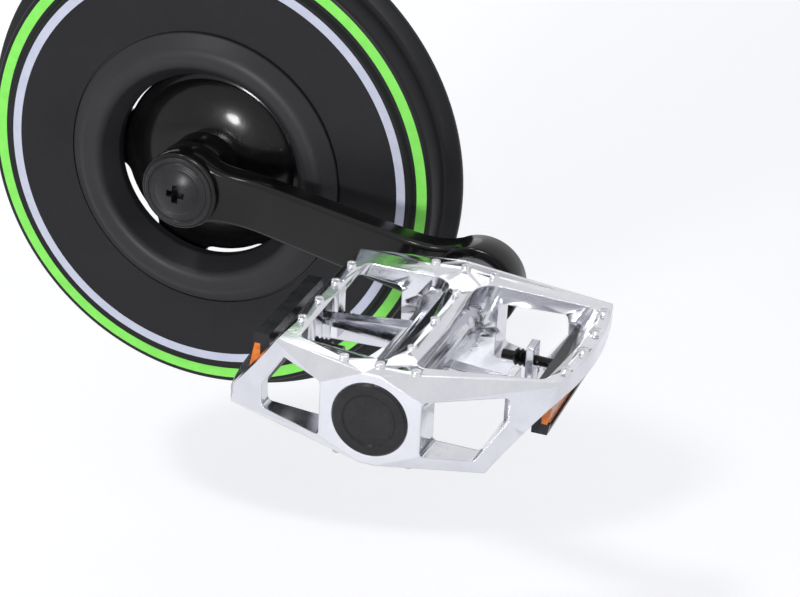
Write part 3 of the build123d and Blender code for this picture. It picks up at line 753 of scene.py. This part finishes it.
@dataclass
class CrankArm:
    """One forged arm: a blade kicked outboard between two round bosses, glossy black all over.

    It is shaped along +X with its hub's outer face at Y = 0 and the frame on the +Y side, then placed.
    """

    side: Side
    length: float = 114.3 * MM
    hub_radius: float = 14.0 * MM
    hub_seat_radius: float = 13.4 * MM
    hub_seat_start: float = 13.0 * MM
    eye_radius: float = 15.0 * MM
    eye_thickness: float = 12.0 * MM
    axle_bore: float = 7.1 * MM
    rim_chamfer: float = 0.7 * MM
    blade_start: float = 4.0 * MM
    blade_end: float = 110.3 * MM
    neck_half_width: float = 9.1 * MM
    wide_half_width: float = 10.3 * MM
    thickness: float = 9.4 * MM
    hub_stand: float = 2.1 * MM
    eye_stand: float = 3.0 * MM
    kick: float = 17.0 * MM
    hub_flat: float = 26.0 * MM
    eye_flat: float = 24.0 * MM
    bend_radius: float = 45.0 * MM
    hub_blend: float = 25.0 * MM
    eye_blend: float = 26.0 * MM
    edge_round: float = 2.4 * MM
    sunk: float = 0.05 * MM
    stations: int = 58

    @property
    def hub_depth(self) -> float:
        """Length of the hub boss along its axis."""
        return 37.0 * MM if self.side is Side.DRIVE else 35.0 * MM

    def half_width(self, along: float) -> float:
        """Half the blade's width at a place, blended into both round bosses.

        Args:
            along: Distance from the hub's axis.

        Returns:
            The half width in metres.
        """
        bar = self.neck_half_width + (self.wide_half_width - self.neck_half_width) * along / self.length
        width = bar
        for away, boss, blend in ((along, self.hub_radius, self.hub_blend),
                                  (self.length - along, self.eye_radius, self.eye_blend)):
            height = bar + blend
            reach = math.sqrt((boss + blend) ** 2 - height ** 2)
            touch = reach * boss / (boss + blend)
            if away <= touch:
                width = math.sqrt(max(boss ** 2 - away ** 2, 0.0)) - self.sunk
            elif away < reach:
                width = height - math.sqrt(blend ** 2 - (reach - away) ** 2)
        return width

    def face(self, along: float) -> float:
        """Place of the blade's outer face along Y, with both bends rounded.

        Args:
            along: Distance from the hub's axis.

        Returns:
            The place in metres.
        """
        low, high = self.hub_stand, self.eye_stand - self.kick
        start, end = self.hub_flat, self.length - self.eye_flat
        slope = (high - low) / (end - start)
        half = self.bend_radius * math.tan(abs(math.atan(slope)) / 2)
        curve = slope / (4 * half)
        if along <= start - half:
            return low
        if along < start + half:
            return low + curve * (along - start + half) ** 2
        if along <= end - half:
            return low + slope * (along - start)
        if along < end + half:
            return high - curve * (end + half - along) ** 2
        return high

    def blade(self) -> bpy.types.Object:
        """Slices a block across, then sizes and shifts each slice.

        Returns:
            The blade, with its edges rounded.
        """
        middle, span = (self.blade_start + self.blade_end) / 2, self.blade_end - self.blade_start
        bpy.ops.mesh.primitive_cube_add(size=1.0, location=(middle, self.thickness / 2, 0.0))
        block = bpy.context.object
        block.scale = (span, self.thickness, 2 * self.wide_half_width)
        settle(block)
        places = [self.blade_start + span * step / self.stations for step in range(self.stations + 1)]
        bpy.ops.object.mode_set(mode="EDIT")
        for place in places[1:-1]:
            bpy.ops.mesh.select_all(action="SELECT")
            bpy.ops.mesh.bisect(plane_co=(place, 0.0, 0.0), plane_no=(1.0, 0.0, 0.0))
        for place in places:
            choose(block, lambda corner: abs(corner.x - place) < NEAR)
            wide = self.half_width(place) / self.wide_half_width
            bpy.ops.transform.resize(value=(1.0, 1.0, wide), center_override=(place, 0.0, 0.0))
            bpy.ops.transform.translate(value=(0.0, self.face(place), 0.0))
        bpy.ops.object.mode_set(mode="OBJECT")
        soften(block, self.edge_round, segments=5)
        return block

    def bosses(self) -> list[bpy.types.Object]:
        """The hub with its seat for the spider, and the eye with the axle's bore.

        Returns:
            Hub, seat and eye.
        """
        hub = round_bar(self.hub_radius, 0.0, self.hub_seat_start)
        seat = round_bar(self.hub_seat_radius, self.hub_seat_start - MM, self.hub_depth)
        eye = round_bar(self.eye_radius, -self.kick, self.eye_thickness - self.kick, self.length)
        bore = round_bar(self.axle_bore, -self.kick - MM, self.eye_thickness - self.kick + MM, self.length)
        carve(eye, bore)
        for boss in (hub, seat, eye):
            soften(boss, self.rim_chamfer)
        return [hub, seat, eye]

    def build(self) -> bpy.types.Object:
        """Builds, places and dresses the arm.

        Returns:
            The arm, riding with the crankset.
        """
        arm = unite([self.blade(), *self.bosses()], f"{self.side.value}_forged_arm")
        set_on_hub(arm, self.side)
        dress(arm, BLACK_PAINT)
        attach(arm, "crankset")
        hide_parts(f"{self.side.value}_crank_arm")
        return arm


@dataclass
class DustCap:
    """The cap in the arm's hub: a flange, turned rings that step up to a dome, and a cross slot."""

    side: Side
    radius: float = 12.6 * MM
    flange: float = 0.5 * MM
    plug_radius: float = 11.0 * MM
    plug_start: float = -0.2 * MM
    plug_length: float = 4.2 * MM
    slot_length: float = 6.6 * MM
    slot_width: float = 2.4 * MM
    slot_depth: float = 6.0 * MM
    slot_round: float = 0.08 * MM
    plug_round: float = 0.3 * MM
    rim_steps: Outline = ((0.35, 0.3), (0.95, 0.08), (0.2, -0.3), (0.35, 0.0), (0.25, 0.35))
    turned_steps: Outline = ((0.45, 0.11), (0.12, -0.06), (0.15, 0.11))
    turned_rings: int = 3
    dome_radius: float = 8.3
    dome_rise: float = 2.1
    dome_rings: int = 8
    corners: int = 128

    def steps(self) -> Iterable[tuple[float, float]]:
        """Steps over the cap's face, from the flange to the dome's crown.

        Returns:
            Inward step and rise of each ring, in millimetres.
        """
        yield from self.rim_steps
        for _ in range(self.turned_rings):
            yield from self.turned_steps
        reach = self.dome_radius
        for ring in range(1, self.dome_rings + 1):
            near, far = (reach * (1 - place / (self.dome_rings + 1)) for place in (ring - 1, ring))
            yield near - far, self.dome_rise * (near ** 2 - far ** 2) / reach ** 2

    def build(self) -> bpy.types.Object:
        """Builds, places and dresses the cap.

        Returns:
            The cap, riding with the crankset.
        """
        cap = round_bar(self.radius, -self.flange, 0.0, corners=self.corners)
        bpy.ops.object.mode_set(mode="EDIT")
        choose(cap, lambda corner: corner.y < -self.flange / 2)
        for inward, rise in self.steps():
            bpy.ops.mesh.inset(thickness=inward * MM, depth=0.0)
            bpy.ops.transform.translate(value=(0.0, -rise * MM, 0.0))
        bpy.ops.object.mode_set(mode="OBJECT")
        crown = min(corner.co.y for corner in cap.data.vertices)
        plug = round_bar(self.plug_radius, self.plug_start, self.plug_length, corners=self.corners)
        soften(plug, self.plug_round)
        for body in (cap, plug):
            for size in ((self.slot_length, self.slot_width), (self.slot_width, self.slot_length)):
                bpy.ops.mesh.primitive_cube_add(size=1.0, location=(0.0, crown, 0.0))
                tool = bpy.context.object
                tool.scale = (size[0], 2 * self.slot_depth, size[1])
                settle(tool)
                carve(body, tool)
        soften(cap, self.slot_round, angle=30.0)
        cap = unite([cap, plug], f"{self.side.value}_hub_cap")
        set_on_hub(cap, self.side)
        dress(cap, CAP_PLASTIC)
        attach(cap, "crankset")
        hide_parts(f"{self.side.value}_dust_cap")
        return cap


@dataclass
class Pedal:
    """One platform pedal: its casting, with a socket in the tip of each grip pin."""

    side: Side
    frame: dict
    smooth_below: float = 16.0
    socket_wall: float = 0.4 * MM
    socket_depth: float = 0.55 * MM

    def node(self, name: str) -> bpy.types.Object:
        """The frame's node of that name, without its side, on this side."""
        return self.frame["nodes"][f"{self.side.value}_{name}"]

    def hollow_pins(self, piece: bpy.types.Object) -> None:
        """Sinks a socket into the tip of every grip pin, on both faces.

        Args:
            piece: The casting's merged copy.
        """
        tilt = math.radians(PEDAL_TILT)
        upper = Vector((math.sin(tilt), 0.0, math.cos(tilt)))
        for outward in (upper, -upper):
            tip = max(outward.dot(corner.co) for corner in piece.data.vertices)
            activate(piece)
            bpy.ops.object.mode_set(mode="EDIT")
            choose(piece, lambda corner: outward.dot(corner) > tip - 2 * NEAR)
            bpy.ops.mesh.inset(thickness=self.socket_wall, depth=0.0)
            bpy.ops.transform.translate(value=-outward * self.socket_depth)
            bpy.ops.object.mode_set(mode="OBJECT")

    def build(self) -> bpy.types.Object:
        """The cast body: crisp flat facets, smooth bows and tube, with edges rounded by its finish.

        Returns:
            The casting, riding with its pedal.
        """
        piece = merged_copy(self.node("pedal_body"), f"{self.side.value}_pedal_casting")
        self.hollow_pins(piece)
        bpy.ops.object.shade_smooth_by_angle(angle=math.radians(self.smooth_below))
        dress(piece, CASTING)
        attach(piece, f"{self.side.value}_pedal")
        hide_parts(f"{self.side.value}_pedal_body")
        return piece


@dataclass(frozen=True)
class Lamp:
    """A round soft lamp that looks at the object, with its reach and diameter in metres."""

    name: str
    towards: Colour
    reach: float
    size: float
    watts: float

    def build(self, target: Vector) -> None:
        """Adds the lamp.

        Args:
            target: The point that it looks at.
        """
        direction = Vector(self.towards).normalized()
        bpy.ops.object.light_add(type="AREA", location=direction * self.reach + target)
        lamp = bpy.context.object
        lamp.name = self.name
        lamp.data.shape = "DISK"
        lamp.data.size = self.size
        lamp.data.energy = self.watts
        lamp.rotation_euler = direction.to_track_quat("Z", "Y").to_euler()


@dataclass(frozen=True)
class Studio:
    """Camera, lamps, world and floor, set to the reference view."""

    azimuth: float = 20.03
    elevation: float = 25.34
    distance: float = 0.8986
    target: Vector = field(default_factory=lambda: Vector((73.84, -31.0, -38.96)) * MM)
    lens: float = 114.8
    sensor: float = 36.0
    nearest: float = 0.01
    floor_level: float = -0.16
    floor_size: float = 12.0
    floor_lift: float = 0.36
    floor_colour: Colour = (0.80, 0.80, 0.81)
    floor_roughness: float = 0.8
    room_light: float = 0.55
    room_colour: Colour = (0.93, 0.95, 1.0)
    white: Colour = (1.0, 1.0, 1.0)
    lamps: tuple[Lamp, ...] = (
        Lamp("key_lamp", (-0.12, -0.96, 0.22), reach=1.3, size=0.2, watts=7.6),
        Lamp("back_lamp", (-0.50, 0.76, 0.42), reach=1.4, size=0.9, watts=2.4),
        Lamp("edge_lamp", (-0.31, -0.43, 0.85), reach=1.2, size=0.13, watts=2.4),
    )

    def camera(self) -> None:
        """Puts the camera where the reference view was taken from."""
        bpy.ops.object.camera_add()
        camera = bpy.context.object
        camera.name = "view_camera"
        turn, rise = math.radians(self.azimuth), math.radians(self.elevation)
        back = Vector((math.sin(turn) * math.cos(rise), -math.cos(turn) * math.cos(rise), math.sin(rise)))
        right = Vector((math.cos(turn), math.sin(turn), 0.0))
        up = back.cross(right)
        place = self.target + self.distance * back
        basis = Matrix((right, up, back)).transposed().to_4x4()
        camera.matrix_world = Matrix.Translation(place) @ basis
        camera.data.lens = self.lens
        camera.data.sensor_width = self.sensor
        camera.data.clip_start = self.nearest
        bpy.context.scene.camera = camera

    def world(self) -> None:
        """Pale room light, while the camera and reflections see plain white."""
        world = bpy.data.worlds.new("white_room")
        bpy.context.scene.world = world
        world.use_nodes = True
        nodes = NodeBuilder(world.node_tree)
        room = world.node_tree.nodes["Background"]
        nodes.put(room, "Color", self.room_colour)
        nodes.put(room, "Strength", self.room_light)
        seen = nodes.add("ShaderNodeBackground", Color=self.white, Strength=1.0)
        both = nodes.add("ShaderNodeMixShader")
        for target, value in zip(both.inputs, (self.direct_rays(nodes), room.outputs[0], seen.outputs[0])):
            nodes.fill(target, value)
        nodes.put(world.node_tree.nodes["World Output"], "Surface", both.outputs[0])

    def direct_rays(self, nodes: NodeBuilder) -> bpy.types.NodeSocket:
        """Is 1 for camera, glossy and transmission rays, which see the plain white background.

        Args:
            nodes: Builder of the tree that asks.

        Returns:
            The mask's socket.
        """
        path = nodes.add("ShaderNodeLightPath")
        total = path.outputs["Is Camera Ray"]
        for name in ("Is Glossy Ray", "Is Transmission Ray"):
            total = nodes.maths("MAXIMUM", total, path.outputs[name])
        return total

    def floor(self) -> None:
        """A plain pale floor under the object, lifted towards white where it is seen or mirrored."""
        bpy.ops.mesh.primitive_plane_add(size=self.floor_size, location=(0.0, 0.0, self.floor_level))
        floor = bpy.context.object
        floor.name = "studio_floor"
        settle(floor)
        material = bpy.data.materials.new("pale_floor")
        material.use_nodes = True
        nodes = NodeBuilder(material.node_tree)
        shader = material.node_tree.nodes["Principled BSDF"]
        nodes.put(shader, "Base Color", self.floor_colour)
        nodes.put(shader, "Roughness", self.floor_roughness)
        nodes.put(shader, "Emission Color", self.white)
        nodes.put(shader, "Emission Strength", nodes.maths("MULTIPLY", self.direct_rays(nodes), self.floor_lift))
        floor.data.materials.append(material)

    def build(self) -> None:
        """Sets up the whole studio."""
        self.camera()
        self.world()
        self.floor()
        for lamp in self.lamps:
            lamp.build(self.target)
        bpy.context.scene.view_settings.view_transform = "Standard"


def dress_frame(frame: dict) -> None:
    """Gives every carried-over node the finish of its material slot, except the guard bezel, whose own finish is
    made lighter as a painted highlight.

    Args:
        frame: The loaded frame.
    """
    for entry in frame["record"]["subparts"]:
        node = frame["nodes"][entry["node"]]
        dress(node, FINISH_OF_NODE.get(entry["node"], FINISH_OF_SLOT[entry["material_slot"]]))
        LOG.info("dressed %s as %s", entry["node"], entry["material_slot"])


def main() -> None:
    """Loads the frame, builds each sub-assembly in order and sets up the studio."""
    logging.basicConfig(level=logging.INFO, format="%(name)s: %(message)s")
    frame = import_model()
    bpy.ops.object.select_all(action="DESELECT")
    dress_frame(frame)
    pieces = [GuardDish().build()]
    for side in Side:
        pieces += [CrankArm(side).build(), DustCap(side).build(), Pedal(side, frame).build()]
    for piece in pieces:
        LOG.info("built %s with %d faces", piece.name, len(piece.data.polygons))
    Studio().build()


if __name__ == "__main__":
    main()
